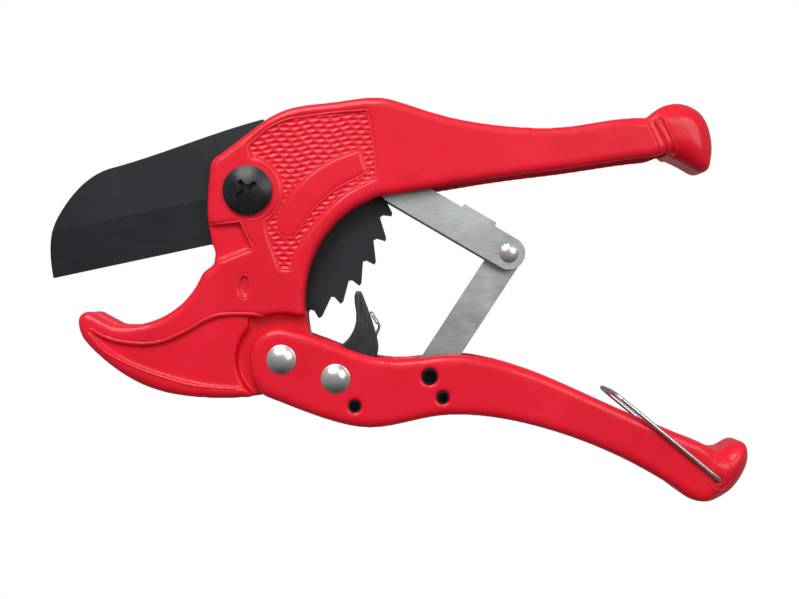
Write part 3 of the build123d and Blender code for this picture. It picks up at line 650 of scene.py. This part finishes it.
# ------------------------------------------------------------------ textured panel
def dimpled_panel(name, side):
    """A sheet on the panel's floor with staggered rows of lens-shaped dimples."""
    step = 0.26
    face = frame_high[1]
    node = frame["nodes"]["frame_casting"].data
    tree = BVHTree.FromPolygons([v.co / MM for v in node.vertices],
                                [list(p.vertices) for p in node.polygons])
    xs, zs = np.arange(0.0, 41.0, step), np.arange(-25.5, 25.8, step)
    floor_at = face - 0.9
    inside = np.zeros((len(xs), len(zs)), bool)
    for i, x in enumerate(xs):
        for k, z in enumerate(zs):
            found = tree.ray_cast(Vector((x, side * 30.0, z)), Vector((0, -side, 0)), 40.0)
            inside[i, k] = found[0] is not None and abs(abs(found[0].y) - floor_at) < 0.05
    pitch_x, pitch_z = 3.5, 1.6
    grid_x, grid_z = np.meshgrid(xs, zs, indexing="ij")
    sway = grid_z + 0.25 * np.sin(grid_x * 0.55) - 0.10 * grid_x
    row = np.floor(sway / pitch_z)
    wander = 0.35 * np.sin(row * 12.9) + 0.5 * (row % 2)
    across = (grid_x / pitch_x + wander) % 1.0 - 0.5
    up = (sway / pitch_z) % 1.0 - 0.5
    depth = np.clip(1 - (np.abs(across) / 0.46) ** 2 - (np.abs(up) / 0.40) ** 1.6, 0, 1) ** 0.8
    height = floor_at + 0.40 - 0.32 * depth
    height[~inside] = floor_at + 0.2
    index = np.arange(inside.size).reshape(inside.shape)
    top = np.stack([grid_x, side * height, grid_z], -1).reshape(-1, 3)
    bottom = top.copy()
    bottom[:, 1] = side * (floor_at - 0.6)
    cell = inside[:-1, :-1] & inside[1:, :-1] & inside[1:, 1:] & inside[:-1, 1:]
    faces, shift = [], inside.size
    for i, k in np.argwhere(cell):
        loop = [index[i, k], index[i + 1, k], index[i + 1, k + 1], index[i, k + 1]]
        faces.append(loop if side < 0 else loop[::-1])
        under = [v + shift for v in loop]
        faces.append(under[::-1] if side < 0 else under)
        for (di, dk), (a, b) in (((0, -1), (0, 1)), ((1, 0), (1, 2)), ((0, 1), (2, 3)), ((-1, 0), (3, 0))):
            ni, nk = i + di, k + dk
            if not (0 <= ni < cell.shape[0] and 0 <= nk < cell.shape[1] and cell[ni, nk]):
                wall = [loop[b], loop[a], under[a], under[b]]
                faces.append(wall if side < 0 else wall[::-1])
    points = np.concatenate([top, bottom])
    used = np.unique([v for f in faces for v in f])
    rename = np.full(len(points), -1)
    rename[used] = np.arange(len(used))
    faces = [[int(rename[v]) for v in f] for f in faces]
    obj = new_mesh(name, points[used], faces, MATERIALS["red_paint"])
    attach(obj, "frame")


dimpled_panel("panel_texture_front", -1)
dimpled_panel("panel_texture_rear", 1)


# ------------------------------------------------------------------ rivets
def turned(name, node, body, profile, material, sides=48):
    """A piece turned about its node's own Y axis from a (radius, y) profile, rear half mirrored."""
    cx, cz = pivot_of(node)
    half = profile + [(r, -y) for r, y in reversed(profile)]
    angles = np.linspace(0, 2 * math.pi, sides, endpoint=False)
    points = [(cx + r * math.cos(a), y, cz + r * math.sin(a)) for r, y in half for a in angles]
    faces = []
    for i in range(len(half) - 1):
        for k in range(sides):
            m = (k + 1) % sides
            faces.append((i * sides + k, i * sides + m, (i + 1) * sides + m, (i + 1) * sides + k))
    faces.append(tuple(range(sides - 1, -1, -1)))
    faces.append(tuple((len(half) - 1) * sides + k for k in range(sides)))
    piece = new_mesh(name, points, faces, MATERIALS[material])
    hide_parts(node)
    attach(piece, body)


def dome_profile(node, shank, span, round_edge=0.28):
    """Front half of a round-headed rivet: a low dome, a rolled rim and the shank behind it."""
    low, high = mm_box(node)
    radius, tip = (high[0] - low[0]) / 2, -low[1]
    rise = tip - span - round_edge
    profile = [(0.05, -tip)]
    for t in np.linspace(0.12, 1.0, 12):
        r = (radius - round_edge) * math.sin(t * math.pi / 2)
        profile.append((r, -(span + round_edge) - rise * (1 - (r / (radius - round_edge)) ** 2.4)))
    for t in np.linspace(0.25, 1.0, 4):
        a = t * math.pi / 2
        profile.append((radius - round_edge * (1 - math.sin(a)), -(span + round_edge * math.cos(a))))
    return profile + [(shank, -span), (shank, -span + 0.4)]


for rivet in ("handle_rivet", "pawl_rivet"):
    turned(rivet + "_turned", rivet, "handle", dome_profile(rivet, RIVET_SHANK, handle_high[1]),
           "nickel")
turned("knee_rivet_turned", "knee_rivet", "upper_link",
       dome_profile("knee_rivet", KNEE_SHANK, mm_box("upper_link")[1][1], 0.2), "nickel")


# ------------------------------------------------------------------ pawl, springs and bail
pawl_skin, _ = skin("pawl", "pawl_skin", 0.25, 0.2,
                    lambda x, z: 0.5 + 0 * x, streaked_black(), [(pivot_of("pawl_rivet"), 3.0)])
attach(pawl_skin, "pawl")


def rounded_path(corners, radii, spacing=0.5):
    """A path through corners with each inner corner turned by an arc of its own radius."""
    corners = [np.array(c, float) for c in corners]
    path = [corners[0]]
    for before, corner, after, radius in zip(corners, corners[1:], corners[2:], radii):
        a = (before - corner) / np.linalg.norm(before - corner)
        b = (after - corner) / np.linalg.norm(after - corner)
        half = math.acos(np.clip(a @ b, -1, 1)) / 2
        reach = radius / math.tan(half)
        middle = corner + (a + b) / np.linalg.norm(a + b) * radius / math.sin(half)
        start, end = corner + a * reach - middle, corner + b * reach - middle
        sweep = math.acos(np.clip(start @ end / radius**2, -1, 1))
        for t in np.linspace(0, 1, max(4, int(radius * sweep / spacing) + 1)):
            blend = math.sin((1 - t) * sweep) * start + math.sin(t * sweep) * end
            path.append(middle + blend / math.sin(sweep))
    path.append(corners[-1])
    filled = [path[0]]
    for a, b in zip(path, path[1:]):
        steps = max(1, int(np.linalg.norm(b - a) / (4 * spacing)))
        filled += [a + (b - a) * (i + 1) / steps for i in range(steps)]
    return np.array(filled)


bail_low, bail_high = mm_box("lock_bail")
bail_wire = 0.65
reach_out = bail_high[1] - bail_wire
tip_x, tip_z = bail_low[0] + bail_wire, bail_high[2] - bail_wire
near = [(hole_x, 0.0, hole_z), (hole_x, -reach_out, hole_z), (tip_x, -reach_out, tip_z)]
far = [(x, -y, z) for x, y, z in reversed(near)]
bail_path = rounded_path(near + far, (1.6, 5.0, 5.0, 1.6))
bail = new_mesh("lock_bail_wire", *tube(bail_path, bail_wire, False, 14), MATERIALS["spring_steel"])
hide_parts("lock_bail")
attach(bail, "bail")


def polar(radius, degrees, centre):
    a = math.radians(degrees)
    return centre[0] + radius * math.cos(a), centre[1] + radius * math.sin(a)


def leaving(centre, radius, outside, sense):
    """Angle on a circle where a straight line to an outside point leaves it."""
    dx, dz = outside[0] - centre[0], outside[1] - centre[1]
    return math.degrees(math.atan2(dz, dx)) + sense * math.degrees(math.acos(radius / math.hypot(dx, dz)))


pawl_at = pivot_of("pawl_rivet")
stop_at = pivot_of("pawl_spring_pin")
spring_wire = 0.45
coil_radius, coil_inner, coil_outer = 3.1, 2.9, 6.6
leg_end = polar(2.65, 30, stop_at)
shoulder = (pawl_at[0] + 11.6, pawl_at[1] + 11.5)
first_angle = leaving(pawl_at, coil_radius, leg_end, 1)
last_angle = leaving(pawl_at, coil_radius, shoulder, -1)
turn = 3 * 360 + (last_angle - first_angle) % 360
wound = []
COIL_POINTS = 110
for i in range(COIL_POINTS):
    t = i / (COIL_POINTS - 1)
    x, z = polar(coil_radius, first_angle + turn * t, pawl_at)
    wound.append((x, coil_outer + (coil_inner - coil_outer) * t, z))
hook = [shoulder, (pawl_at[0] + 13.4, pawl_at[1] + 16.0), (pawl_at[0] + 10.8, pawl_at[1] + 20.2),
        (pawl_at[0] + 12.6, pawl_at[1] + 17.1)]
spring_path = rounded_path(
    [(leg_end[0], coil_outer, leg_end[1]), wound[0]], ()).tolist() + wound[1:] + rounded_path(
    [wound[-1], (hook[0][0], coil_inner, hook[0][1]), (hook[1][0], coil_inner, hook[1][1]),
     (hook[2][0], coil_inner - 0.6, hook[2][1]), (hook[2][0], 0.6 - coil_inner, hook[2][1]),
     (hook[3][0], -coil_inner, hook[3][1])], (2.0, 1.6, 1.0, 1.0), 0.3).tolist()[1:]
pawl_wire = new_mesh("pawl_spring_wire", *tube(spring_path, spring_wire, False, 12),
                     MATERIALS["spring_steel"])
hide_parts("pawl_spring")
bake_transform(pawl_wire)


# ------------------------------------------------------------------ stage
def stage_material(name, colour, strength):
    """Pale surface that is clear from behind, so that it never hides the object."""
    n = Nodes(name)
    tree = n.tree
    behind = tree.nodes.new("ShaderNodeNewGeometry").outputs["Backfacing"]
    clear = tree.nodes.new("ShaderNodeBsdfTransparent")
    glow = tree.nodes.new("ShaderNodeEmission")
    glow.inputs["Color"].default_value = (*colour, 1.0)
    seen_by_camera = tree.nodes.new("ShaderNodeLightPath").outputs["Is Camera Ray"]
    tree.links.new(n.spread(seen_by_camera, 0.3 * strength, strength, 0.0, 1.0), glow.inputs["Strength"])
    mixed = tree.nodes.new("ShaderNodeMixShader")
    tree.links.new(behind, mixed.inputs[0])
    tree.links.new(glow.outputs[0], mixed.inputs[1])
    tree.links.new(clear.outputs[0], mixed.inputs[2])
    tree.links.new(mixed.outputs[0], tree.nodes["Material Output"].inputs["Surface"])
    return n.material


low, high = first_bounds
centre = (low + high) / 2
FLOOR_GAP = 60.0
floor_y = high.y / MM + FLOOR_GAP
span = 3000.0
floor = new_mesh("floor", [(-span, floor_y, -span), (span, floor_y, -span), (span, floor_y, span),
                           (-span, floor_y, span)], [(0, 1, 2, 3)],
                 stage_material("floor_white", (1.0, 1.0, 1.0), 1.0), smooth=False)


def area_light(name, at, size, power, colour=(1, 1, 1)):
    lamp = bpy.data.lights.new(name, "AREA")
    lamp.shape = "DISK"
    lamp.size = size
    lamp.energy = power
    lamp.color = colour
    obj = bpy.data.objects.new(name, lamp)
    bpy.context.scene.collection.objects.link(obj)
    obj.location = at
    obj.rotation_mode = "QUATERNION"
    obj.rotation_quaternion = (Vector(at) - centre).to_track_quat("Z", "Y")


area_light("key", (-0.20, -0.75, 0.75), 0.70, 8.6)
area_light("fill", (0.55, -0.80, 0.30), 0.50, 2.4)
area_light("rim", (0.10, 0.55, 0.80), 0.50, 3.0)
area_light("back", (0.35, 0.85, 0.40), 0.6, 12.0)

world = bpy.data.worlds.new("studio")
bpy.context.scene.world = world
world.use_nodes = True
wt = world.node_tree
seen = wt.nodes.new("ShaderNodeBackground")
seen.inputs["Color"].default_value = (1.0, 1.0, 1.0, 1)
lit = wt.nodes["Background"]
sky = wt.nodes.new("ShaderNodeTexCoord").outputs["Generated"]
height = wt.nodes.new("ShaderNodeSeparateXYZ")
wt.links.new(sky, height.inputs[0])
shade = wt.nodes.new("ShaderNodeValToRGB")
shade.color_ramp.elements[0].position = 0.0
shade.color_ramp.elements[0].color = (0.07, 0.07, 0.075, 1)
shade.color_ramp.elements[1].position = 0.75
shade.color_ramp.elements[1].color = (0.85, 0.85, 0.86, 1)
rise = wt.nodes.new("ShaderNodeMath")
rise.operation = "MULTIPLY_ADD"
rise.inputs[1].default_value = 0.5
rise.inputs[2].default_value = 0.5
wt.links.new(height.outputs["Z"], rise.inputs[0])
wt.links.new(rise.outputs[0], shade.inputs["Fac"])
wt.links.new(shade.outputs["Color"], lit.inputs["Color"])
lit.inputs["Strength"].default_value = 0.5
paths = wt.nodes.new("ShaderNodeLightPath")
mixed = wt.nodes.new("ShaderNodeMixShader")
wt.links.new(paths.outputs["Is Camera Ray"], mixed.inputs[0])
wt.links.new(lit.outputs[0], mixed.inputs[1])
wt.links.new(seen.outputs[0], mixed.inputs[2])
wt.links.new(mixed.outputs[0], wt.nodes["World Output"].inputs["Surface"])

bpy.context.scene.view_settings.view_transform = "Standard"

lens = bpy.data.cameras.new("camera")
lens.sensor_width = 36.0
lens.lens = 46.8
lens.clip_start = 0.01
camera = bpy.data.objects.new("camera", lens)
bpy.context.scene.collection.objects.link(camera)
camera.location = (0.0469, -0.330, -0.0337)
camera.rotation_euler = (math.radians(90), 0, 0)
bpy.context.scene.camera = camera
